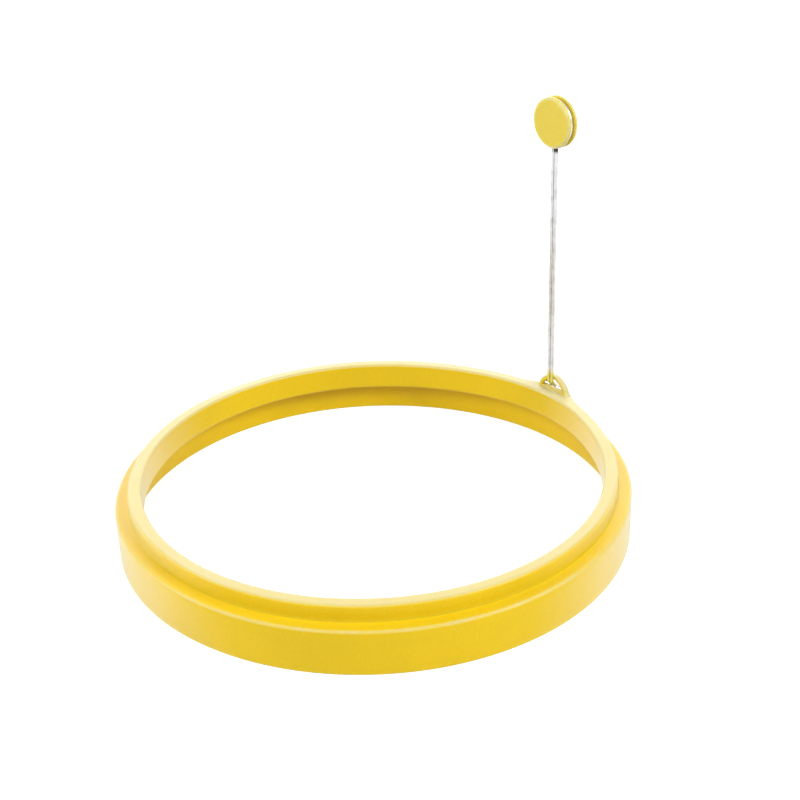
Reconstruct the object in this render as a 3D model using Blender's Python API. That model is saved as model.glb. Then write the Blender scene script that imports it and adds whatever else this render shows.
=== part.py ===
"""Silicone egg ring with a fold-down wire handle.

Metres, +Z up.  The ring stands on z = 0 with its axis on the Z axis.  The ear
that carries the handle is at +Y, and the handle stands upright in it.
"""

import math

import bmesh
import bpy
from mathutils import Euler, Vector

MM = 0.001

# Ring: a stepped wall, so that rings nest when they are stacked
ring_radius = 75.0 * MM
ring_height = 18.2 * MM
lower_wall = 2.6 * MM
upper_wall = 3.9 * MM
shoulder_height = 13.4 * MM
shoulder_width = 4.1 * MM
knee_thickness = 3.5 * MM
base_round = 0.4 * MM
shoulder_round = 0.9 * MM
rim_round = 0.8 * MM
recess_round = 0.5 * MM
ring_segments = 96

# Lug: a flared step on the shoulder, level with the rim, that carries the ear
lug_half_width = 6.8 * MM
lug_inset = 0.7 * MM
lug_sink = 1.0 * MM
lug_round = 0.45 * MM
lug_corner = 1.2 * MM
flare_half_width = 11.0 * MM
flare_run_out = 5.0 * MM
flare_round = 4.0 * MM
level_step = 0.02 * MM
lug_root_share = 0.7

# Ear: a low arch at the lug's outer edge, with a window under its crown
ear_half_width = 6.2 * MM
ear_depth = 1.9 * MM
ear_stand_off = 2.3 * MM
ear_leg = 1.55 * MM
ear_crown = 1.05 * MM
ear_round = 0.3 * MM
ear_root = 1.4 * MM
sill_drop = 1.0 * MM
sill_gap = 0.85 * MM
crown_gap = 2.2 * MM
ear_power = 1.77
ear_steps = 20

# Handle: one wire, bent into a hairpin with an eye on top and two feet below
wire_diameter = 1.1 * MM
handle_reach = 86.3 * MM
socket_depth = 1.0 * MM
socket_gap = 0.1 * MM
strand_gap_top = 0.15 * MM
strand_gap_foot = 0.3 * MM
heel_rise = 2.2 * MM
heel_round = 0.9 * MM
entry_round = 1.5 * MM
wire_steps = 5
eye_steps = 17
wire_resolution = 2
socket_segments = 16

# Grip: a grooved button that snaps into the eye
grip_radius = 7.6 * MM
grip_flange = 1.3 * MM
grip_round = 0.45 * MM
groove_depth = 2.0 * MM
groove_round = 0.3 * MM
grip_segments = 48

# What moves or fits keeps this gap to its neighbour
clearance = 0.3 * MM
cut_overrun = 2.0 * MM
merge_distance = 0.001 * MM
arc_steps = 2
bevel_steps = 2
bevel_angle = math.radians(50.0)
crease_angle = math.radians(35.0)
upright_axis = (0.0, 0.0, 1.0)
grip_axis = (0.0, 1.0, 0.0)
quarter_turn = math.radians(90.0)

# Linear colours
silicone_colour = (0.855, 0.578, 0.021)
silicone_roughness = 0.45
steel_colour = (0.68, 0.67, 0.65)
steel_roughness = 0.25

# Worked out from the sizes above
upper_outer = ring_radius - shoulder_width
upper_inner = upper_outer - upper_wall
lower_inner = ring_radius - lower_wall
recess_height = shoulder_height - knee_thickness
wire_radius = wire_diameter / 2
lug_outer = ring_radius - lug_inset
lug_inner = upper_outer - upper_wall * lug_root_share
ear_middle = upper_outer + ear_stand_off
pivot_rise = sill_gap + wire_radius
crown_height = pivot_rise + wire_radius + crown_gap
ear_rise = crown_height + ear_crown
pivot_height = ring_height + pivot_rise
pivot_y = ear_middle
socket_radius = wire_radius + socket_gap
crown_front = ear_middle - ear_depth / 2
stem_y = crown_front - clearance - wire_radius
groove_radius = grip_radius - groove_depth
groove_width = wire_diameter + 2 * clearance
eye_radius = groove_radius + clearance + wire_radius


def clear_scene():
    """Remove every object, so that the file holds only the part."""
    for old in list(bpy.data.objects):
        bpy.data.objects.remove(old, do_unlink=True)


def make_material(name, colour, roughness, metallic):
    """Principled material of one colour, given as linear red, green and blue."""
    material = bpy.data.materials.new(name)
    material.use_nodes = True
    shader = material.node_tree.nodes["Principled BSDF"]
    shader.inputs["Base Color"].default_value = (*colour, 1.0)
    shader.inputs["Roughness"].default_value = roughness
    shader.inputs["Metallic"].default_value = metallic
    return material


def add_object(name, data, material, location=(0.0, 0.0, 0.0)):
    """Link mesh or curve data into the scene as one named object."""
    thing = bpy.data.objects.new(name, data)
    bpy.context.scene.collection.objects.link(thing)
    thing.location = location
    if material:
        data.materials.append(material)
    return thing


def mesh_from(name, bm):
    """Turn a bmesh into a smooth-shaded mesh whose faces point outward."""
    bmesh.ops.recalc_face_normals(bm, faces=bm.faces)
    mesh = bpy.data.meshes.new(name)
    bm.to_mesh(mesh)
    bm.free()
    mesh.shade_smooth()
    mesh.set_sharp_from_angle(angle=crease_angle)
    return mesh


def round_corner(before, corner, after, radius, steps):
    """Arc that touches both sides of a corner, cut short where a side is short."""
    if radius == 0.0:
        return [corner]
    back = before - corner
    ahead = after - corner
    half = back.angle(ahead) / 2
    setback = min(radius / math.tan(half), back.length / 2, ahead.length / 2)
    reach = setback / math.cos(half)
    centre = corner + (back.normalized() + ahead.normalized()).normalized() * reach
    start = corner + back.normalized() * setback - centre
    finish = corner + ahead.normalized() * setback - centre
    turn = start.angle(finish)
    arc = []
    for step in range(steps + 1):
        share = step / steps
        first = math.sin((1 - share) * turn) / math.sin(turn)
        second = math.sin(share * turn) / math.sin(turn)
        arc.append(centre + start * first + finish * second)
    return arc


def rounded_outline(corners, steps):
    """Closed outline through (point, radius) corners, each one rounded."""
    outline = []
    for index, (point, radius) in enumerate(corners):
        before = corners[index - 1][0]
        after = corners[(index + 1) % len(corners)][0]
        outline += round_corner(before, point, after, radius, steps)
    return outline


def turned_solid(name, outline, closed, axis, segments):
    """Turn an outline, closed or from axis to axis, about an axis through the origin."""
    bm = bmesh.new()
    verts = [bm.verts.new(point) for point in outline]
    edges = [bm.edges.new(pair) for pair in zip(verts, verts[1:])]
    if closed:
        edges.append(bm.edges.new((verts[-1], verts[0])))
    bmesh.ops.spin(bm, geom=verts + edges, cent=(0.0, 0.0, 0.0), axis=axis,
                   angle=math.tau, steps=segments, use_merge=True)
    bmesh.ops.remove_doubles(bm, verts=bm.verts, dist=merge_distance)
    return mesh_from(name, bm)


def hide_helper(helper):
    """Keep a shape that only cuts or joins out of the finished part."""
    helper.hide_render = True
    helper.display_type = "WIRE"


def add_boolean(target, helper, operation):
    """Join or cut the target with a helper shape."""
    modifier = target.modifiers.new(helper.name, "BOOLEAN")
    modifier.operation = operation
    modifier.solver = "EXACT"
    modifier.object = helper


def arch_points(half_width, rise, foot):
    """Upright arch, a rounded triangle on straight legs that reach down to foot."""
    points = [Vector((half_width, 0.0, foot))]
    for step in range(ear_steps + 1):
        angle = math.pi * step / ear_steps
        across = math.copysign(abs(math.cos(angle)) ** (2 / ear_power), math.cos(angle))
        up = math.sin(angle) ** (2 / ear_power) if 0 < step < ear_steps else 0.0
        points.append(Vector((half_width * across, 0.0, rise * up)))
    points.append(Vector((-half_width, 0.0, foot)))
    return points


def thick_plate(name, outline, sweep):
    """Plate with the given outline, drawn out by the sweep and centred on the outline."""
    bm = bmesh.new()
    face = bm.faces.new([bm.verts.new(point - sweep / 2) for point in outline])
    grown = bmesh.ops.extrude_face_region(bm, geom=[face])
    moved = [item for item in grown["geom"] if isinstance(item, bmesh.types.BMVert)]
    bmesh.ops.translate(bm, verts=moved, vec=sweep)
    return mesh_from(name, bm)


def soften(helper, width):
    """Round the sharp edges of a shape before it is joined on."""
    bevel = helper.modifiers.new("soft_edges", "BEVEL")
    bevel.width = width
    bevel.segments = bevel_steps
    bevel.limit_method = "ANGLE"
    bevel.angle_limit = bevel_angle


def make_lug():
    """Step that fills the shoulder under the ear and flares into the wall."""
    rim_y = math.sqrt(upper_outer ** 2 - flare_half_width ** 2)
    tail_x = flare_half_width + flare_run_out
    right = [
        (Vector((tail_x, lug_inner, 0.0)), 0.0),
        (Vector((flare_half_width, rim_y, 0.0)), flare_round),
        (Vector((lug_half_width, lug_outer, 0.0)), lug_corner),
    ]
    left = [(Vector((-point.x, point.y, 0.0)), radius) for point, radius in reversed(right)]
    foot = shoulder_height - lug_sink
    top = ring_height - level_step
    outline = rounded_outline(right + left, arc_steps)
    mesh = thick_plate("lug", outline, Vector((0.0, 0.0, top - foot)))
    lug = add_object("lug", mesh, None, (0.0, 0.0, (top + foot) / 2))
    soften(lug, lug_round)
    hide_helper(lug)
    return lug


def make_ear():
    """Arch on the lug, with the window that the handle's feet reach across."""
    outer = arch_points(ear_half_width, ear_rise, -sill_drop - ear_root)
    foot = (0.0, ear_middle, ring_height)
    ear = add_object("ear", thick_plate("ear", outer, Vector((0.0, ear_depth, 0.0))), None, foot)
    window_sides = ear_half_width - ear_leg
    inner = arch_points(window_sides, crown_height, -sill_drop)
    sweep = Vector((0.0, ear_depth + cut_overrun, 0.0))
    window = add_object("ear_window", thick_plate("ear_window", inner, sweep), None, foot)
    for helper in (ear, window):
        hide_helper(helper)
    add_boolean(ear, window, "DIFFERENCE")
    soften(ear, ear_round)
    return ear


def half_width_at(half_width, rise, height):
    """Half the width of an arch at a height above its foot."""
    return half_width * (1 - (height / rise) ** ear_power) ** (1 / ear_power)


def socket_reach():
    """How far from the middle plane the sockets for the feet go."""
    return half_width_at(ear_half_width - ear_leg, crown_height, pivot_rise) + socket_depth


def make_ring(material):
    """Turned wall with the lug and the ear joined on and the two sockets drilled."""
    corners = [
        (Vector((lower_inner, 0.0, 0.0)), base_round),
        (Vector((ring_radius, 0.0, 0.0)), base_round),
        (Vector((ring_radius, 0.0, shoulder_height)), shoulder_round),
        (Vector((upper_outer, 0.0, shoulder_height)), shoulder_round),
        (Vector((upper_outer, 0.0, ring_height)), rim_round),
        (Vector((upper_inner, 0.0, ring_height)), rim_round),
        (Vector((upper_inner, 0.0, recess_height)), recess_round),
        (Vector((lower_inner, 0.0, recess_height)), recess_round),
    ]
    outline = rounded_outline(corners, arc_steps)
    mesh = turned_solid("silicone_ring", outline, True, upright_axis, ring_segments)
    ring = add_object("silicone_ring", mesh, material)
    bm = bmesh.new()
    bmesh.ops.create_cone(bm, cap_ends=True, segments=socket_segments, radius1=socket_radius,
                          radius2=socket_radius, depth=2 * socket_reach())
    drill = add_object("socket_drill", mesh_from("socket_drill", bm), None,
                       (0.0, pivot_y, pivot_height))
    drill.rotation_euler = Euler((0.0, quarter_turn, 0.0))
    hide_helper(drill)
    add_boolean(ring, make_lug(), "UNION")
    add_boolean(ring, make_ear(), "UNION")
    add_boolean(ring, drill, "DIFFERENCE")
    return ring


def arc_points(centre, radius, start, finish, steps):
    """Points along an arc in the plane of the hairpin, between two angles from +X."""
    points = []
    for step in range(steps + 1):
        angle = start + (finish - start) * step / steps
        points.append(centre + Vector((math.cos(angle), 0.0, math.sin(angle))) * radius)
    return points


def half_wire():
    """Right half of the wire, from its toe to the top of the eye, seen from the pivot."""
    foot_x = wire_radius + strand_gap_foot / 2
    top_x = wire_radius + strand_gap_top / 2
    stem_offset = stem_y - pivot_y
    entry_reach = eye_radius + entry_round
    entry_angle = math.acos((top_x + entry_round) / entry_reach)
    neck_z = handle_reach - entry_reach * math.sin(entry_angle)
    toe = Vector((socket_reach() - socket_gap, 0.0, 0.0))
    bend = Vector((foot_x, 0.0, 0.0))
    heel = Vector((foot_x, stem_offset, heel_rise))
    neck = Vector((top_x, stem_offset, neck_z))
    entry_centre = Vector((top_x + entry_round, stem_offset, neck_z))
    eye_centre = Vector((0.0, stem_offset, handle_reach))
    points = [toe]
    points += round_corner(toe, bend, heel, heel_round, wire_steps)
    points += round_corner(bend, heel, neck, heel_round, wire_steps)
    points += arc_points(entry_centre, entry_round, math.pi, math.pi - entry_angle, wire_steps)
    points += arc_points(eye_centre, eye_radius, -entry_angle, math.pi / 2, eye_steps)[1:]
    return points


def make_handle(material):
    """Hairpin of round wire, with its origin on the line that it folds about."""
    right = half_wire()
    left = [Vector((-point.x, point.y, point.z)) for point in reversed(right[:-1])]
    curve = bpy.data.curves.new("wire_handle", "CURVE")
    curve.dimensions = "3D"
    curve.bevel_depth = wire_radius
    curve.bevel_resolution = wire_resolution
    curve.use_fill_caps = True
    spline = curve.splines.new("POLY")
    route = right + left
    spline.points.add(len(route) - 1)
    for place, point in zip(spline.points, route):
        place.co = (*point, 1.0)
    return add_object("wire_handle", curve, material, (0.0, pivot_y, pivot_height))


def make_grip(material, handle):
    """Grooved button, turned about its own axis, which lies along Y through the eye."""
    half = groove_width / 2 + grip_flange
    side = groove_width / 2
    corners = [
        (Vector((grip_radius, -half, 0.0)), grip_round),
        (Vector((grip_radius, -side, 0.0)), grip_round),
        (Vector((groove_radius, -side, 0.0)), groove_round),
        (Vector((groove_radius, side, 0.0)), groove_round),
        (Vector((grip_radius, side, 0.0)), grip_round),
        (Vector((grip_radius, half, 0.0)), grip_round),
    ]
    front = Vector((0.0, -half, 0.0))
    back = Vector((0.0, half, 0.0))
    outline = [front]
    places = [front] + [point for point, radius in corners] + [back]
    for index, (point, radius) in enumerate(corners):
        outline += round_corner(places[index], point, places[index + 2], radius, arc_steps)
    outline.append(back)
    mesh = turned_solid("grip_knob", outline, False, grip_axis, grip_segments)
    grip = add_object("grip_knob", mesh, material, (0.0, stem_y - pivot_y, handle_reach))
    grip.parent = handle
    return grip


def build():
    """Make the three pieces: the ring, the wire that folds in its ear, and the grip."""
    clear_scene()
    silicone = make_material("yellow_silicone", silicone_colour, silicone_roughness, 0.0)
    steel = make_material("bright_steel", steel_colour, steel_roughness, 1.0)
    make_ring(silicone)
    handle = make_handle(steel)
    make_grip(silicone, handle)


build()
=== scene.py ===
"""Looks of a yellow silicone egg ring with a fold-down wire handle.

Metres, +Z up.  The ring stands on z = 0 with its axis on the Z axis.  The ear
that carries the handle is at +Y, and the handle stands upright in it.
"""

import math

import bpy
import numpy as np
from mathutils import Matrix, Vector


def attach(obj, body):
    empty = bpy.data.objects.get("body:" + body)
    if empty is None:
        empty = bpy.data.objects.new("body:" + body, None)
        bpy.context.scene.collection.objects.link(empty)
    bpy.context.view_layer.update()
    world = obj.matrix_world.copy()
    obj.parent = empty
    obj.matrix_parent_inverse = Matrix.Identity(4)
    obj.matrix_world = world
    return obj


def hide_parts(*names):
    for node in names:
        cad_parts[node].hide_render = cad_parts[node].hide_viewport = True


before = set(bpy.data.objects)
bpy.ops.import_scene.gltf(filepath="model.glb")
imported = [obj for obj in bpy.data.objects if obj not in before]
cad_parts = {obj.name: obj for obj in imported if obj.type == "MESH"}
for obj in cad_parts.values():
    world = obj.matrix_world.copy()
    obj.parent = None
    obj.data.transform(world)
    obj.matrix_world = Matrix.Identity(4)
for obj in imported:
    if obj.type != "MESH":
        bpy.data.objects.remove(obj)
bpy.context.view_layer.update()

MM = 0.001

# Ways that a profile runs, as steps across and up
OUTWARD, INWARD, UPWARD, DOWNWARD = (1, 0), (-1, 0), (0, 1), (0, -1)

# Rows of points in each round of a profile, and in each straight between two
round_rows = 8
wall_rows = 5

# Ring wall
ring_radius = 75.0 * MM
ring_height = 18.2 * MM
lower_inner = 72.4 * MM
upper_outer = 70.9 * MM
upper_inner = 67.0 * MM
shoulder_height = 13.4 * MM
recess_height = 9.9 * MM
base_round = 0.4 * MM
shoulder_round = 0.9 * MM
rim_round = 0.8 * MM
knee_round = 0.6 * MM
recess_round = 0.7 * MM
ring_columns = 720
ring_crowding = 0.86

# Lug: the shoulder grows into a step under the ear.  Its outline is worked out
# only within lug_reach of the ear's middle.
lug_outer = 74.3 * MM
lug_half_width = 6.8 * MM
flare_half_width = 11.0 * MM
lug_corner_blend = 0.7 * MM
flare_blend = 1.6 * MM
lug_round = 0.45 * MM
lug_reach = math.radians(30.0)

# How far soft silicone strays from its true shape.  The handle draws the wall
# outward at the ear: the upper wall by the whole reach, the lower by a share.
# Slow waves run round the wall too: how many, how strong, and where they start.
pull_reach = 1.9 * MM
pull_spread = math.radians(24.0)
lower_pull_share = 0.25
wall_stray = 0.05 * MM
wall_waves = ((3, 1.0, 0.7), (7, 0.6, 2.1), (13, 0.4, 0.0))

# How much each corner of the wall's profile paints pale: base in and out,
# shoulder, fillet, rim out and in, knee, recess.  Pale is wear on the corners,
# and on the shoulder mostly a painted highlight.  The two hollows, fillet and
# recess, take painted shade instead, and so does the knee, by its minus sign.
edge_wear_and_shade = (0.2, 0.5, 1.3, 0.3, 0.25, 0.15, -0.6, 0.3)

# Painted shade: the upper wall's tone darkens from this height down to the shoulder
wall_shade_top = 17.0 * MM
wall_shade = 0.8

# Painted sheen: pale colour on the rim's top in place of its grazing gloss.  It is
# stronger by the ear, over the spread, as painted light on the arch's shadow.
painted_sheen_drop = 0.4 * MM
painted_sheen_drop_inside = 0.75 * MM
painted_sheen_fade = 0.35 * MM
painted_sheen_gain = 0.4
painted_sheen_spread = math.radians(7.0)

# Ear: a low arch at the lug's outer edge, round a window
ear_middle = 73.2 * MM
ear_half_width = 6.2 * MM
ear_rise = 5.2 * MM
ear_power = 1.77
window_half_width = 4.65 * MM
window_rise = 4.15 * MM
window_power = 1.4
ear_depth = 1.9 * MM
ear_squareness = 0.6
ear_foot = -2.2 * MM
foot_fillet = 0.7 * MM
foot_spread = 0.35 * MM
ear_foot_rows = 14
ear_arch_rows = 72
ear_columns = 40

# The ear's corners wear by a power of how far out they are.  Its painted sheen,
# pale colour in place of light, grows from the window's side, -1, to the outer
# side, +1: middle plus slope times side, held between 0 and 1, times its strength.
ear_wear_power = 3
ear_painted_sheen = 1.2
ear_painted_sheen_middle = 0.3
ear_painted_sheen_slope = 0.9

# Sill: a low bar between the ear's legs
sill_rise = 0.55 * MM
sill_reach = 5.2 * MM
sill_squareness = 0.7
sill_rows = 24
# Painted sheen on the sill: pale colour in place of light on its top
sill_painted_sheen = 0.7

# Handle wire
wire_radius = 0.55 * MM
pivot_rise = 1.4 * MM
stem_y = 71.4 * MM
toe_round = 0.2 * MM
heel_rise = 2.2 * MM
foot_bend = 0.882 * MM
heel_bend = 0.765 * MM
foot_gap = 0.3 * MM
top_gap = 0.15 * MM
eye_radius = 6.45 * MM
entry_round = 1.5 * MM
grip_height = 105.9 * MM
toe_steps = 6
bend_steps = 18
stem_steps = 90
eye_steps = 96
wire_columns = 28

# Painted reflection: yellow from the silicone on each foot, by the way along the wire from
# its toe
foot_reflection_from = 4.6 * MM
foot_reflection_to = 11.5 * MM
foot_reflection_fade = 2.0 * MM

# Painted shade: a dark spot where the strands go into the grip, by height
neck_shade_low = 96.8 * MM
neck_shade_high = 99.5 * MM
neck_fade = 0.3 * MM
neck_left_share = 0.35

# Blind sockets in the ear's legs, where the toes turn
socket_radius = 0.65 * MM
socket_depth = 1.0 * MM
socket_gap = 0.1 * MM
socket_columns = 40

# Grip.  Only what is farther out than dome_from is domed.
grip_radius = 7.6 * MM
grip_half = 2.15 * MM
groove_half = 0.85 * MM
groove_radius = 5.6 * MM
face_round = 1.0 * MM
lip_round = 0.22 * MM
groove_round = 0.3 * MM
face_dome = 0.12 * MM
dome_from = 1.5 * groove_half
grip_columns = 160
face_rows = 16

# Worked out from the sizes above
pivot_height = ring_height + pivot_rise
socket_reach = socket_depth + window_half_width * (
    1 - (pivot_rise / window_rise) ** ear_power) ** (1 / ear_power)
toe_reach = socket_reach - socket_gap

# Silicone: linear tone, waves of grain a metre, wear of the edges, which also
# scales the shoulder's painted highlight, strength of the grain's relief, and
# the share of light that it lets in
ring_finish = {"tone": (0.86, 0.60, 0.003), "grain": 1500.0, "wear": 0.3,
               "relief": 0.5, "glow": 0.25}
grip_finish = {"tone": (0.87, 0.69, 0.08), "grain": 2200.0, "wear": 0.5,
               "relief": 0.4, "glow": 0.6}
# Pale colour of worn edges, painted highlights and painted sheen
silicone_pale = (0.67, 0.70, 0.52)
grain_depth = 0.05 * MM

# How silicone takes light: its gloss, the haze that its dry skin shows at
# grazing angles, a faint sheen, and the glow of light that gets in
silicone_gloss = {
    "IOR": 1.42,
    "Specular IOR Level": 0.35,
    "Coat Roughness": 0.5,
    "Coat IOR": 1.9,
    "Sheen Weight": 0.6,
    "Sheen Roughness": 0.3,
    "Sheen Tint": (0.8, 0.97, 1.0, 1.0),
    "Subsurface Radius": (1.0, 0.55, 0.05),
    "Subsurface Scale": 2.5 * MM,
}
haze_range = (0.36, 0.62)

# How noise changes silicone.  Most of a noise's values lie in noise_range, and
# each pair is what its ends become.
noise_range = (0.3, 0.7)
drift_scale = 38.0
drift_tones = (0.955, 1.03)
grain_tones = (0.965, 1.03)
grain_roughness = (0.30, 0.40)
# Painted sheen: its share of the pale colour, and how patchy it is
painted_sheen_share = 0.45
painted_sheen_patches = (0.85, 1.15)
# Painted shade: how much hollows darken, and how much rougher they are
hollow_painted_shade = 0.2
hollow_dulling = 0.4

# Rubbed spots: their size in waves a metre and their strength, how much more
# the edges wear in them than elsewhere, and how much smoother they are
rub_range = (0.46, 0.66)
rub_size = 140.0
rub_amount = 0.35
rub_wear = 1.2
plain_wear = 0.7
rub_polish = 0.12

# Steel wire, in linear colours
steel_tone = (0.66, 0.665, 0.68)
steel_dull = (0.46, 0.455, 0.44)
# Painted reflection of the yellow silicone on the feet
steel_foot_reflection = (0.62, 0.55, 0.12)
# Painted shade at the neck
steel_neck_shade = (0.05, 0.035, 0.02)
steel_rub_size = 260.0
steel_rub_amount = 0.7
line_scale = 6500.0
line_stretch = (1.0, 1.0, 0.02)
line_roughness = (0.14, 0.3)
line_relief = 0.5
line_depth = 0.01 * MM

# Character of each noise
drift_noise = {"Detail": 2.0, "Roughness": 0.5}
grain_noise = {"Detail": 3.0, "Roughness": 0.65}
rub_noise = {"Detail": 3.0, "Roughness": 0.6}
line_noise = {"Detail": 3.0, "Roughness": 0.6}

# Floor and surroundings: the floor's grey to light and to the eye, the white
# that the eye sees added to it, and the world's level to light
floor_half = 0.9
floor_drop = 0.03 * MM
floor_lit = (0.65, 0.65, 0.65)
floor_seen = (0.45, 0.45, 0.45)
floor_white = 0.8
world_level = 0.12
white = (1.0, 1.0, 1.0, 1.0)

# Light panels: width and height, power, degrees round from +X and degrees up.
# The camera stands at -36 degrees, so the back panel faces it across the ring.
lamp_distance = 1.4
panels = {
    "right_panel": ((0.9, 0.6), 12.3, 24.0, 37.0),
    "left_panel": ((0.9, 0.6), 8.9, -126.0, 20.0),
    "front_panel": ((0.9, 0.6), 7.9, -58.0, 48.0),
    "back_panel": ((2.2, 1.0), 10.4, 144.0, 35.0),
}

# Camera: place in metres, turn in degrees, and lens and sensor in millimetres
camera_place = (0.2951975, -0.2170615, 0.2264261)
camera_turn = (62.90112, 1.71696, 51.45067)
camera_lens = 64.915
camera_sensor = 36.0
camera_near = 0.01


def show(name, data):
    """Put a mesh, a lamp or a camera into the scene."""
    thing = bpy.data.objects.new(name, data)
    bpy.context.scene.collection.objects.link(thing)
    return thing


def lattice(across, along, up):
    """Grid of points from three arrays of coordinates, each spread over it."""
    return np.stack(np.broadcast_arrays(across, along, up), axis=-1)


def full_turn(columns):
    """Angles of evenly spaced columns, once round."""
    return np.arange(columns) / columns * math.tau


def in_one_list(values, closed):
    """Values on a grid as one list.  Where fans close the grid's ends, the means
    of its first and last rows follow, for the points in the fans' middles."""
    flat = values.reshape(-1, *values.shape[2:])
    if closed:
        return flat
    return np.concatenate([flat, np.stack([values[0].mean(0), values[-1].mean(0)])])


def skin(name, grid, closed, marks):
    """Mesh over a grid of points, rows by columns.  Columns always close round.
    Rows close round too where closed; otherwise a fan of triangles closes each
    end at the middle of its row.  Marks are attributes: values or vectors that
    are spread over the grid's points."""
    rows, columns = grid.shape[:2]
    index = np.arange(rows * columns).reshape(rows, columns)
    lower = index if closed else index[:-1]
    upper = np.roll(index, -1, axis=0) if closed else index[1:]
    quads = np.stack([lower, np.roll(lower, -1, axis=1),
                      np.roll(upper, -1, axis=1), upper], axis=-1).reshape(-1, 4)
    faces = quads.tolist()
    if not closed:
        first, last = index[0], index[-1]
        start, finish = np.full((2, columns), rows * columns) + [[0], [1]]
        faces += np.stack([np.roll(first, -1), first, start], axis=-1).tolist()
        faces += np.stack([last, np.roll(last, -1), finish], axis=-1).tolist()
    points = in_one_list(grid, closed)
    mesh = bpy.data.meshes.new(name)
    mesh.from_pydata(points, [], faces)
    corners = points[quads]
    volume = sum(np.einsum("ij,ij->", corners[:, 0],
                           np.cross(corners[:, k], corners[:, k + 1])) for k in (1, 2))
    if volume < 0:
        mesh.flip_normals()
    for mark, values in marks.items():
        depth = np.shape(values)[2:]
        spread = np.broadcast_to(values, (rows, columns, *depth))
        kind, key = ("FLOAT_VECTOR", "vector") if depth else ("FLOAT", "value")
        attribute = mesh.attributes.new(mark, kind, "POINT")
        listed = in_one_list(spread, closed).astype(np.float32).ravel()
        attribute.data.foreach_set(key, listed)
    mesh.shade_smooth()
    return show(name, mesh)


def smooth_least(first, second, width):
    """The lesser of two values, with a round of the given width where they meet:
    least minus a quarter of width times the square of how near they are."""
    near = np.maximum(width - np.abs(first - second), 0.0) / width
    return np.minimum(first, second) - near ** 2 * width / 4


def signed_power(value, power):
    """Power of a value's size, with the value's own sign."""
    return np.sign(value) * np.abs(value) ** power


def band(value, low, high, fade):
    """1 inside a band of values and 0 outside it, with a fade inside each end."""
    entered = np.clip((value - low) / fade, 0.0, 1.0)
    return entered * np.clip((high - value) / fade, 0.0, 1.0)


def rounded_run(corners, columns):
    """Closed profile through corners, each one an arc of its own radius.  A
    corner is (across, up, radius, way in, way out), and the first three are one
    value or one for each column; its arc runs as centre - out * cos + in * sin.
    Straight runs between two arcs get evenly spaced rows.  Returns across, up
    and the edge mark, +1 on top of an outer round, -1 in a hollow."""
    turn = np.linspace(0.0, math.pi / 2, round_rows)
    curves = []
    for across, up, radius, into, out in corners:
        radius = np.broadcast_to(radius, columns)[:, None]
        curve = [np.broadcast_to(place, columns)[:, None]
                 + radius * (out[k] * (1 - np.cos(turn)) - into[k] * (1 - np.sin(turn)))
                 for k, place in enumerate((across, up))]
        bulge = np.sin(2 * turn) * np.sign(into[0] * out[1] - into[1] * out[0])
        curves.append([*curve, np.broadcast_to(bulge, (columns, round_rows))])
    share = np.linspace(0.0, 1.0, wall_rows + 2)[1:-1]
    parts = []
    for here, after in zip(curves, curves[1:] + curves[:1]):
        straight = [here[k][:, -1:] * (1 - share) + after[k][:, :1] * share
                    for k in (0, 1)]
        parts += [here, [*straight, np.zeros((columns, wall_rows))]]
    return [np.concatenate([part[k] for part in parts], axis=1) for k in (0, 1, 2)]


def from_ear(angle):
    """Angle from the ear's middle, brought within half a turn either way."""
    return np.arctan2(np.sin(angle), np.cos(angle))


def ear_pull(angle):
    """How far the ear draws the wall outward at an angle from +Y: a bell curve,
    the reach times e to minus the square of angle over spread."""
    return pull_reach * np.exp(-(from_ear(angle) / pull_spread) ** 2)


def lug_radius(angle):
    """Radius of the upper wall's outer face at an angle from +Y.  It is a circle
    that the ear draws outward, joined by a smooth greatest to the lug, which is
    the smooth least of a flat line and two slopes that run back to the wall."""
    across, along = np.abs(np.sin(angle)), np.cos(angle)
    wall = upper_outer + ear_pull(angle)
    flare_wall = upper_outer + ear_pull(flare_half_width / upper_outer)
    flare_y = math.sqrt(flare_wall ** 2 - flare_half_width ** 2)
    slope = (lug_outer - flare_y) / (flare_half_width - lug_half_width)
    ahead = along > math.cos(lug_reach)
    flat = lug_outer / np.where(ahead, along, 1.0)
    side = flare_y + slope * flare_half_width
    side = side / np.where(ahead, along + slope * across, 1.0)
    lug = np.where(ahead, smooth_least(flat, side, lug_corner_blend), 0.0)
    return -smooth_least(-lug, -wall, flare_blend)


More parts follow.
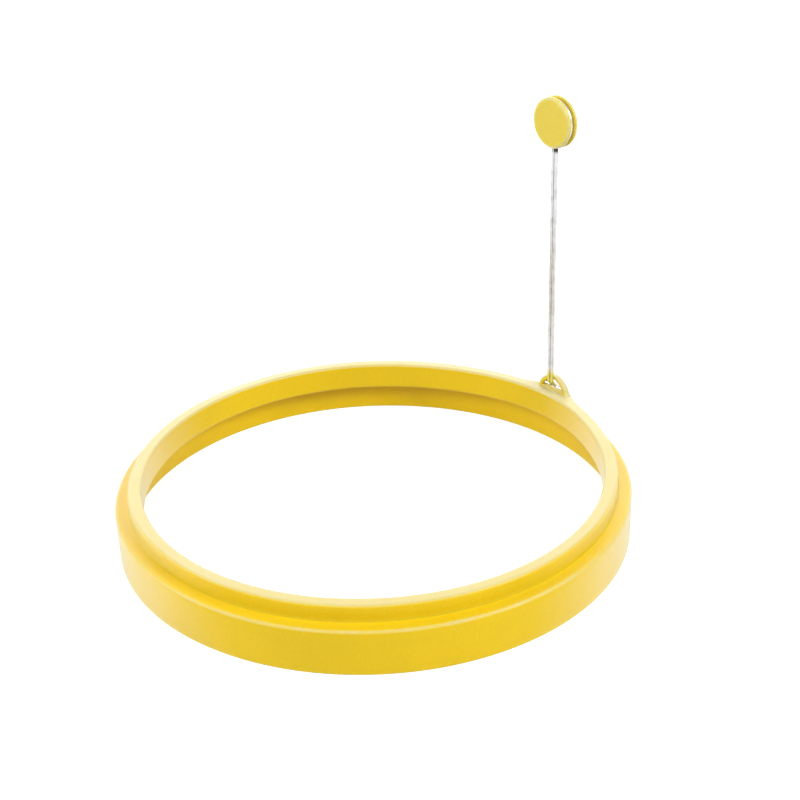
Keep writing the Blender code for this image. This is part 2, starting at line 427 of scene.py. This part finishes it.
def make_ring():
    """Moulded wall: a rounded stepped profile carried round the Z axis.  Its
    columns crowd toward the ear, where the upper wall's radius follows the lug.
    A few slow waves draw the soft wall inward by a hair, most at its top.  The
    edge mark is above 0 on edges that wear pale, the shoulder's also a painted
    highlight, and below 0 where painted shade darkens the tone: in the fillet and
    the recess, at the knee, and down the upper wall's outer face.  Painted sheen
    lies on the rim, with more painted light by the ear, and the low inner wall
    under the knee is sheltered from haze."""
    turn = full_turn(ring_columns)
    angle = turn - ring_crowding * np.sin(turn)
    pull = ear_pull(angle)
    radius = lug_radius(angle)
    lug_share = (radius - upper_outer - pull) / (lug_outer - upper_outer - pull_reach)
    lug_share = np.clip(lug_share, 0.0, 1.0)
    rim_edge = rim_round + (lug_round - rim_round) * lug_share
    shoulder_edge = shoulder_round + (lug_round - shoulder_round) * lug_share
    low_inner = lower_inner + lower_pull_share * pull
    high_inner = upper_inner + pull
    corners = [
        (low_inner, 0.0, base_round, DOWNWARD, OUTWARD),
        (ring_radius, 0.0, base_round, OUTWARD, UPWARD),
        (ring_radius, shoulder_height, shoulder_edge, UPWARD, INWARD),
        (radius, shoulder_height, shoulder_edge, INWARD, UPWARD),
        (radius, ring_height, rim_edge, UPWARD, INWARD),
        (high_inner, ring_height, rim_round, INWARD, DOWNWARD),
        (high_inner, recess_height, knee_round, DOWNWARD, OUTWARD),
        (low_inner, recess_height, recess_round, OUTWARD, DOWNWARD),
    ]
    across, up, edge = rounded_run(corners, ring_columns)

    # Painted highlight on the shoulder's edge, worn paleness on the other corners, and
    # painted shade in the hollows, at the knee and down the upper wall
    edge = edge * np.repeat(edge_wear_and_shade, round_rows + wall_rows)
    wall = radius[:, None]
    outside = (across > wall - rim_round) & (across < wall + shoulder_edge[:, None] / 2)
    foot = np.clip((wall_shade_top - up) / (wall_shade_top - shoulder_height), 0.0, 1.0)
    edge = edge - wall_shade * foot * (outside & (up > shoulder_height))

    wave = sum(size * np.sin(count * angle + start) for count, size, start in wall_waves)
    highest = sum(size for _, size, _ in wall_waves)
    across = across + wall_stray * (wave[:, None] / highest - 1) * up / ring_height

    # Painted sheen on the rim's top, stronger by the ear as painted light on the arch's
    # shadow
    inside = across < (upper_inner + upper_outer) / 2 + pull[:, None]
    depth = np.where(inside, painted_sheen_drop_inside, painted_sheen_drop)
    painted_sheen = np.clip((up - ring_height + depth) / painted_sheen_fade, 0.0, 1.0)
    by_ear = np.exp(-(from_ear(angle) / painted_sheen_spread) ** 2)
    painted_sheen = painted_sheen * (1 + painted_sheen_gain * by_ear)[:, None]

    shelter = np.clip((recess_height + knee_round - up) / knee_round, 0.0, 1.0)
    shelter = shelter * (across < (lower_inner + ring_radius) / 2)

    grid = lattice(across * np.sin(angle)[:, None], across * np.cos(angle)[:, None], up)
    return skin("moulded_ring", grid, True,
                {"edge": edge, "painted_sheen": painted_sheen, "shelter": shelter})


def half_oval(theta, half_width, rise, power):
    """Upright half of a superellipse: half width times cos and rise times sin,
    each of these to 2 / power and with its own sign."""
    return np.stack([half_width * signed_power(np.cos(theta), 2 / power),
                     rise * np.clip(np.sin(theta), 0.0, 1.0) ** (2 / power)], axis=-1)


def make_ear():
    """Arch: a rounded square section carried along the band between two upright
    superellipses, the outer one and the window's, each of its own power, down
    both legs and into the lug.  Near the foot the section spreads by the square
    of how low it is, as a fillet.  Painted sheen, pale colour in place of light,
    lies on the outer side."""
    arch = np.linspace(0.0, math.pi, ear_arch_rows)
    leg = np.linspace(ear_foot, 0.0, ear_foot_rows, endpoint=False)
    level = np.zeros_like(leg)
    theta = np.concatenate([level, arch, level + math.pi])
    outer = half_oval(theta, ear_half_width, ear_rise, ear_power)
    inner = half_oval(theta, window_half_width, window_rise, window_power)
    spoke = (outer - inner) / 2
    middle = (outer + inner) / 2
    middle[:, 1] += np.concatenate([leg, np.zeros_like(arch), leg[::-1]])

    fillet = foot_spread * np.clip(1 - middle[:, 1] / foot_fillet, 0.0, 1.0) ** 2
    spoke = spoke * (1 + fillet / np.linalg.norm(spoke, axis=1))[:, None]
    around = full_turn(ear_columns)
    side = signed_power(np.cos(around), ear_squareness)
    deep = signed_power(np.sin(around), ear_squareness)
    flat = middle[:, None, :] + spoke[:, None, :] * side[:, None]
    depth = (ear_depth / 2 + fillet)[:, None] * deep
    grid = lattice(flat[..., 0], ear_middle + depth, ring_height + flat[..., 1])

    edge = np.abs(side * deep) ** ear_wear_power
    # Painted sheen: pale colour in place of light on the outer side
    painted_sheen = ear_painted_sheen * np.clip(ear_painted_sheen_middle + ear_painted_sheen_slope * side, 0.0, 1.0)
    ear = skin("carrying_ear", grid, False, {"edge": edge, "painted_sheen": painted_sheen})
    cut_sockets(ear)
    return ear


def cut_sockets(ear):
    """Drill the two blind sockets that the wire's toes turn in, with one long
    round bar between them: circles of equal radius along the X axis."""
    around = full_turn(socket_columns)
    ends = np.array([-socket_reach, socket_reach])
    grid = lattice(ends[:, None], ear_middle + socket_radius * np.cos(around),
                   pivot_height + socket_radius * np.sin(around))
    bar = skin("socket_bar", grid, False, {"edge": 0.0})
    cut = ear.modifiers.new("sockets", "BOOLEAN")
    cut.operation = "DIFFERENCE"
    cut.solver = "EXACT"
    cut.object = bar
    drilled = ear.evaluated_get(bpy.context.evaluated_depsgraph_get())
    drilled = bpy.data.meshes.new_from_object(drilled)
    ear.modifiers.clear()
    ear.data = drilled
    bpy.data.objects.remove(bar)


def make_sill():
    """Low round bar between the ear's legs, close under the wire: a superellipse
    carried along X, with its lower half in the lug."""
    around = full_turn(ear_columns)
    across = np.linspace(-sill_reach, sill_reach, sill_rows)[:, None]
    deep = ear_middle + ear_depth / 2 * signed_power(np.cos(around), sill_squareness)
    up = ring_height + sill_rise * signed_power(np.sin(around), sill_squareness)
    # Painted sheen over the whole sill
    return skin("ear_sill", lattice(across, deep, up), False,
                {"edge": 0.0, "painted_sheen": sill_painted_sheen})


def bend(before, corner, after, radius):
    """Arc of a radius that touches both sides of a corner: centre plus the two
    touching points' offsets, mixed by the sines of the angle left and done."""
    back = (before - corner) / np.linalg.norm(before - corner)
    ahead = (after - corner) / np.linalg.norm(after - corner)
    half = math.acos(np.clip(back @ ahead, -1.0, 1.0)) / 2
    setback = radius / math.tan(half)
    middle = (back + ahead) / np.linalg.norm(back + ahead)
    centre = corner + middle * setback / math.cos(half)
    start = corner + back * setback - centre
    finish = corner + ahead * setback - centre
    turn = math.pi - 2 * half
    share = np.linspace(0.0, 1.0, bend_steps)[:, None]
    mixed = start * np.sin((1 - share) * turn) + finish * np.sin(share * turn)
    return centre + mixed / math.sin(turn)


def arc(centre, radius, start, finish, steps):
    """Points on a circle in the plane of the stem and the eye, by angle from +X."""
    angle = np.linspace(start, finish, steps)
    return centre + radius * lattice(np.cos(angle), 0.0, np.sin(angle))


def wire_route():
    """Centre line of the wire, toe to toe: foot, heel, strand, the turn into the
    eye, the eye, and the same again mirrored.  The two strands draw a hair
    closer on the way up."""
    foot_x = wire_radius + foot_gap / 2
    top_x = wire_radius + top_gap / 2
    entry_reach = eye_radius + entry_round
    entry_angle = math.acos((top_x + entry_round) / entry_reach)
    neck_z = grip_height - entry_reach * math.sin(entry_angle)
    toe = np.array([toe_reach, ear_middle, pivot_height])
    foot = np.array([foot_x, ear_middle, pivot_height])
    heel = np.array([foot_x, stem_y, pivot_height + heel_rise])
    neck = np.array([top_x, stem_y, neck_z])
    first = bend(toe, foot, heel, foot_bend)
    second = bend(foot, heel, neck, heel_bend)
    toe_run = toe + (first[0] - toe) * np.linspace(0.0, 1.0, toe_steps)[:-1, None]
    share = np.linspace(0.0, 1.0, stem_steps)[1:-1, None]
    stem = second[-1] * (1 - share) + neck * share
    entry_centre = np.array([top_x + entry_round, stem_y, neck_z])
    turn_in = arc(entry_centre, entry_round, math.pi, math.pi - entry_angle, bend_steps)
    eye_centre = np.array([0.0, stem_y, grip_height])
    eye = arc(eye_centre, eye_radius, -entry_angle, math.pi / 2, eye_steps)
    right = np.concatenate([toe_run, first, second, stem, turn_in, eye[1:]])
    return np.concatenate([right, (right * [-1, 1, 1])[-2::-1]])


def make_wire():
    """Round wire: a circle carried along the route, each ring of points square
    to the route, with toes that close in a quarter round.  The straight_wire
    mark holds where each point was before the wire was bent."""
    route = wire_route()
    lengths = np.linalg.norm(np.diff(route, axis=0), axis=1)
    along = np.concatenate([[0.0], np.cumsum(lengths)])
    tangent = np.gradient(route, along, axis=0)
    tangent /= np.linalg.norm(tangent, axis=1)[:, None]
    side = np.cross(tangent, [0.0, 1.0, 0.0])
    side /= np.linalg.norm(side, axis=1)[:, None]
    over = np.cross(side, tangent)

    from_toe = np.minimum(along, along[-1] - along)
    inset = np.clip(1 - from_toe / toe_round, 0.0, 1.0)
    thick = wire_radius - toe_round * (1 - np.sqrt(1 - inset ** 2))
    around = full_turn(wire_columns)[:, None]
    ring = side[:, None, :] * np.cos(around) + over[:, None, :] * np.sin(around)
    grid = route[:, None, :] + thick[:, None, None] * ring
    straight = lattice(wire_radius * np.cos(around[:, 0]),
                       wire_radius * np.sin(around[:, 0]), along[:, None])

    # Painted reflection of the yellow silicone on each foot
    foot_reflection = band(from_toe, foot_reflection_from, foot_reflection_to, foot_reflection_fade)
    # Painted shade at the neck, weaker on the left strand
    shade = band(route[:, 2], neck_shade_low, neck_shade_high, neck_fade)
    shade = shade * np.where(route[:, 0] > 0, 1.0, neck_left_share)
    return skin("bent_wire", grid, False,
                {"straight_wire": straight, "painted_foot_reflection": foot_reflection[:, None],
                 "painted_neck_shade": shade[:, None]})


def make_grip():
    """Grip: half a section, from the middle of one face over both flanges and
    the groove to the middle of the other, turned about the Y axis through the
    eye.  Both faces are domed by the square of the radius."""
    corners = [
        (grip_radius, -grip_half, face_round, OUTWARD, UPWARD),
        (grip_radius, -groove_half, lip_round, UPWARD, INWARD),
        (groove_radius, -groove_half, groove_round, INWARD, UPWARD),
        (groove_radius, groove_half, groove_round, UPWARD, OUTWARD),
        (grip_radius, groove_half, lip_round, OUTWARD, UPWARD),
        (grip_radius, grip_half, face_round, UPWARD, INWARD),
    ]
    # The straight that would close the profile is left out for the two faces
    radius, depth, edge = [part[0][:-wall_rows] for part in rounded_run(corners, 1)]
    spread = np.linspace(0.0, radius[0], face_rows, endpoint=False)[1:]
    level = np.zeros_like(spread)
    radius = np.concatenate([spread, radius, spread[::-1]])
    depth = np.concatenate([level - grip_half, depth, level + grip_half])
    edge = np.concatenate([level, edge, level])
    domed = np.abs(depth) > dome_from
    depth = depth * (1 - face_dome / grip_half * (radius / grip_radius) ** 2 * domed)
    around = full_turn(grip_columns)
    radius = radius[:, None]
    grid = lattice(radius * np.cos(around), stem_y + depth[:, None],
                   grip_height + radius * np.sin(around))
    # Edge mark: pale on the worn rounds, painted shade in the groove's hollows
    return skin("grooved_grip", grid, False, {"edge": edge[:, None]})


def add_node(tree, kind, inputs=None, **settings):
    """Add a node, set its properties, and set or link its inputs."""
    node = tree.nodes.new(kind)
    for key, value in settings.items():
        setattr(node, key, value)
    for key, value in (inputs or {}).items():
        if isinstance(value, bpy.types.NodeSocket):
            tree.links.new(value, node.inputs[key])
        else:
            node.inputs[key].default_value = value
    return node


def add_math(tree, operation, *values, clamp=False):
    """Sum, product or the like of values and sockets."""
    node = add_node(tree, "ShaderNodeMath", dict(enumerate(values)),
                    operation=operation, use_clamp=clamp)
    return node.outputs[0]


def add_remap(tree, value, given, wanted=(0.0, 1.0)):
    """Stretch the given range of a value to the wanted one, and hold it there."""
    node = add_node(tree, "ShaderNodeMapRange",
                    {"Value": value, "From Min": given[0], "From Max": given[1],
                     "To Min": wanted[0], "To Max": wanted[1]}, clamp=True)
    return node.outputs[0]


def add_noise(tree, place, scale, character):
    """Noise of a scale, in waves a metre, and a character."""
    node = add_node(tree, "ShaderNodeTexNoise",
                    {"Vector": place, "Scale": scale, **character})
    return node.outputs["Fac"]


def add_mix(tree, share, first, second):
    """Colour between two, each one a socket or three linear values."""
    first, second = [
        colour if isinstance(colour, bpy.types.NodeSocket) else (*colour, 1.0)
        for colour in (first, second)]
    node = add_node(tree, "ShaderNodeMix", {0: share, "A": first, "B": second},
                    data_type="RGBA")
    return node.outputs["Result"]


def add_mark(tree, name):
    """Value of a mark that the mesh carries."""
    return add_node(tree, "ShaderNodeAttribute", attribute_name=name).outputs["Fac"]


def add_bump(tree, height, strength, depth):
    """Normal of a relief of a depth in metres."""
    node = add_node(tree, "ShaderNodeBump",
                    {"Height": height, "Strength": strength, "Distance": depth})
    return node.outputs["Normal"]


def link_all(tree, sockets, values):
    """Link each value to the socket of its name."""
    for key, value in values.items():
        tree.links.new(value, sockets[key])


def new_group(name, inputs, outputs):
    """Empty node group with named inputs and outputs."""
    group = bpy.data.node_groups.new(name, "ShaderNodeTree")
    for way, labels in (("INPUT", inputs), ("OUTPUT", outputs)):
        for label, kind in labels.items():
            group.interface.new_socket(label, in_out=way, socket_type="NodeSocket" + kind)
    given = group.nodes.new("NodeGroupInput").outputs
    out = group.nodes.new("NodeGroupOutput").inputs
    return group, given, out


def handling_group():
    """Handling marks: where slow noise is high, the surface was rubbed.  Puts
    out a mask of rubbed spots."""
    group, given, out = new_group(
        "handling_marks", {"Place": "Vector", "Size": "Float", "Amount": "Float"},
        {"Rubbed": "Float"})
    slow = add_noise(group, given["Place"], given["Size"], rub_noise)
    spots = add_remap(group, slow, rub_range)
    rubbed = add_math(group, "MULTIPLY", spots, given["Amount"])
    link_all(group, out, {"Rubbed": rubbed})
    return group


def add_handling(tree, handling, place, size, amount):
    """Mask of rubbed spots of a size and an amount, from the shared group."""
    node = add_node(tree, "ShaderNodeGroup",
                    {"Place": place, "Size": size, "Amount": amount},
                    node_tree=handling)
    return node.outputs["Rubbed"]


def silicone_group(handling):
    """Moulded silicone: its tone drifts slowly, pales on worn edges, more so where
    rubbed, and along the painted highlight that the edge mark carries, pales under
    painted sheen, and darkens by painted shade in hollows.  Its roughness follows
    the fine grain of a blasted mould, higher in hollows and lower where rubbed.
    Edge is above 0 on edges and below 0 in hollows."""
    group, given, out = new_group(
        "moulded_silicone",
        {"Place": "Vector", "Tone": "Color", "Pale": "Color", "Edge": "Float",
         "PaintedSheen": "Float", "Grain": "Float", "Wear": "Float"},
        {"Colour": "Color", "Roughness": "Float", "Height": "Float"})
    drift = add_noise(group, given["Place"], drift_scale, drift_noise)
    grain = add_noise(group, given["Place"], given["Grain"], grain_noise)
    rubbed = add_handling(group, handling, given["Place"], rub_size, rub_amount)
    hollow = add_math(group, "MINIMUM", given["Edge"], 0.0)
    proud = add_math(group, "MAXIMUM", given["Edge"], 0.0)

    slow_tone = add_remap(group, drift, noise_range, drift_tones)
    fine_tone = add_remap(group, grain, noise_range, grain_tones)
    light = add_math(group, "MULTIPLY", slow_tone, fine_tone)
    # Painted shade: hollows darken
    shaded = add_math(group, "MULTIPLY_ADD", hollow, hollow_painted_shade, 1.0)
    light = add_math(group, "MULTIPLY", light, shaded)
    tone = add_node(group, "ShaderNodeVectorMath", {0: given["Tone"], 1: light},
                    operation="MULTIPLY").outputs[0]

    # Pale edges: wear, and a painted highlight where the edge mark is strong
    uneven = add_math(group, "MULTIPLY_ADD", rubbed, rub_wear, plain_wear)
    wear_and_highlight = add_math(group, "MULTIPLY", proud, uneven)
    wear_and_highlight = add_math(group, "MULTIPLY", wear_and_highlight, given["Wear"])
    # Painted sheen, patchy with the slow drift
    patchy = add_remap(group, drift, noise_range, painted_sheen_patches)
    patchy_sheen = add_math(group, "MULTIPLY", given["PaintedSheen"], patchy)
    pale = add_math(group, "ADD", patchy_sheen, wear_and_highlight, clamp=True)
    colour = add_mix(group, pale, tone, given["Pale"])

    rough = add_remap(group, grain, noise_range, grain_roughness)
    rough = add_math(group, "MULTIPLY_ADD", hollow, -hollow_dulling, rough)
    rough = add_math(group, "MULTIPLY_ADD", rubbed, -rub_polish, rough)
    link_all(group, out, {"Colour": colour, "Roughness": rough, "Height": grain})
    return group


def silicone_material(name, group, tone, grain, wear, relief, glow):
    """Satin silicone that lets a little light in.  Its dry skin has a haze of
    gloss at grazing angles, apart from where it is sheltered."""
    material = bpy.data.materials.new(name)
    material.use_nodes = True
    tree = material.node_tree
    shader = tree.nodes["Principled BSDF"]
    place = add_node(tree, "ShaderNodeTexCoord").outputs["Object"]
    # Painted sheen: pale colour in place of light on the rim, the ear and the sill
    painted_sheen = add_math(tree, "MULTIPLY", add_mark(tree, "painted_sheen"), painted_sheen_share)
    moulded = add_node(tree, "ShaderNodeGroup", {
        "Place": place, "Tone": (*tone, 1.0), "Pale": (*silicone_pale, 1.0),
        "Edge": add_mark(tree, "edge"), "PaintedSheen": painted_sheen, "Grain": grain, "Wear": wear,
    }, node_tree=group).outputs
    grazing = add_node(tree, "ShaderNodeLayerWeight", {"Blend": 0.5}).outputs["Facing"]
    unsheltered = add_math(tree, "SUBTRACT", 1.0, add_mark(tree, "shelter"))
    link_all(tree, shader.inputs, {
        "Base Color": moulded["Colour"],
        "Roughness": moulded["Roughness"],
        "Normal": add_bump(tree, moulded["Height"], relief, grain_depth),
        "Coat Weight": add_remap(tree, grazing, haze_range, (0.0, unsheltered)),
    })
    shader.inputs["Subsurface Weight"].default_value = glow
    for key, value in silicone_gloss.items():
        shader.inputs[key].default_value = value
    return material


def steel_material(handling):
    """Drawn steel wire: bright, with fine lines along it, duller patches, a painted
    yellow reflection on its feet and painted shade at its neck."""
    material = bpy.data.materials.new("drawn_steel")
    material.use_nodes = True
    tree = material.node_tree
    shader = tree.nodes["Principled BSDF"]
    straight = add_node(tree, "ShaderNodeAttribute", attribute_name="straight_wire")
    place = straight.outputs["Vector"]
    rubbed = add_handling(tree, handling, place, steel_rub_size, steel_rub_amount)
    colour = add_mix(tree, rubbed, steel_tone, steel_dull)
    # Painted reflection of the yellow silicone on the feet
    colour = add_mix(tree, add_mark(tree, "painted_foot_reflection"), colour, steel_foot_reflection)
    # Painted shade at the neck
    colour = add_mix(tree, add_mark(tree, "painted_neck_shade"), colour, steel_neck_shade)
    drawn = add_node(tree, "ShaderNodeMapping", {"Vector": place, "Scale": line_stretch})
    lines = add_noise(tree, drawn.outputs[0], line_scale, line_noise)
    link_all(tree, shader.inputs, {
        "Base Color": colour,
        "Roughness": add_remap(tree, lines, noise_range, line_roughness),
        "Normal": add_bump(tree, lines, line_relief, line_depth),
    })
    shader.inputs["Metallic"].default_value = 1.0
    return material


def seen_share(tree):
    """1 for a ray from the camera or off gloss or through glass, 0 for others."""
    rays = add_node(tree, "ShaderNodeLightPath").outputs
    seen = add_math(tree, "MAXIMUM", rays["Is Camera Ray"], rays["Is Glossy Ray"])
    return add_math(tree, "MAXIMUM", seen, rays["Is Transmission Ray"])


def make_floor():
    """Plain pale floor.  Seen rays mix white into it, and its shadow stays."""
    mesh = bpy.data.meshes.new("floor")
    corners = [(-1, -1), (1, -1), (1, 1), (-1, 1)]
    mesh.from_pydata([(across * floor_half, along * floor_half, -floor_drop)
                      for across, along in corners], [], [(0, 1, 2, 3)])
    floor = show("floor", mesh)
    material = bpy.data.materials.new("pale_floor")
    material.use_nodes = True
    tree = material.node_tree
    tree.nodes.remove(tree.nodes["Principled BSDF"])
    seen = seen_share(tree)
    tone = add_mix(tree, seen, floor_lit, floor_seen)
    matte = add_node(tree, "ShaderNodeBsdfDiffuse", {"Color": tone})
    level = add_math(tree, "MULTIPLY", seen, floor_white)
    glare = add_node(tree, "ShaderNodeEmission", {"Color": white, "Strength": level})
    both = add_node(tree, "ShaderNodeAddShader", {0: matte.outputs[0], 1: glare.outputs[0]})
    link_all(tree, tree.nodes["Material Output"].inputs, {"Surface": both.outputs[0]})
    material.cycles.emission_sampling = "NONE"
    mesh.materials.append(material)


def make_world():
    """White surroundings: full white to seen rays, a soft level to all others."""
    world = bpy.data.worlds.new("white_room")
    bpy.context.scene.world = world
    world.use_nodes = True
    tree = world.node_tree
    background = tree.nodes["Background"].inputs
    level = add_remap(tree, seen_share(tree), (0.0, 1.0), (world_level, 1.0))
    link_all(tree, background, {"Strength": level})
    background["Color"].default_value = white
    world.cycles.sampling_method = "NONE"


def add_panel(name, size, power, turn, rise):
    """Soft light panel, turned round the ring from +X and raised off the floor,
    both in degrees, and aimed at the ring's middle."""
    turn, rise = math.radians(turn), math.radians(rise)
    flat = lamp_distance * math.cos(rise)
    place = Vector((flat * math.cos(turn), flat * math.sin(turn),
                    lamp_distance * math.sin(rise)))
    lamp = bpy.data.lights.new(name, "AREA")
    lamp.shape = "RECTANGLE"
    lamp.size, lamp.size_y = size
    lamp.energy = power
    panel = show(name, lamp)
    panel.location = place
    panel.rotation_euler = (-place).to_track_quat("-Z", "Y").to_euler()
    panel.visible_camera = False


def make_camera():
    """Camera at the photograph's viewing angle."""
    data = bpy.data.cameras.new("camera")
    data.sensor_width = camera_sensor
    data.lens = camera_lens
    data.clip_start = camera_near
    camera = show("camera", data)
    camera.location = camera_place
    camera.rotation_euler = [math.radians(turn) for turn in camera_turn]
    bpy.context.scene.camera = camera


make_camera()
make_world()
make_floor()
for name, panel in panels.items():
    add_panel(name, *panel)

handling = handling_group()
moulded = silicone_group(handling)
ring_silicone = silicone_material("ring_silicone", moulded, **ring_finish)
grip_silicone = silicone_material("grip_silicone", moulded, **grip_finish)
steel = steel_material(handling)

dressed = [
    (make_ring(), ring_silicone, "ring", "silicone_ring", "yellow_silicone"),
    (make_ear(), ring_silicone, "ring", "silicone_ring", "yellow_silicone"),
    (make_sill(), ring_silicone, "ring", "silicone_ring", "yellow_silicone"),
    (make_wire(), steel, "handle", "wire_handle", "bright_steel"),
    (make_grip(), grip_silicone, "grip", "grip_knob", "yellow_silicone"),
]
for piece, material, body, node, finish in dressed:
    piece.data.materials.clear()
    piece.data.materials.append(material)
    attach(piece, body)
    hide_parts(node)

bpy.context.scene.view_settings.view_transform = "Standard"
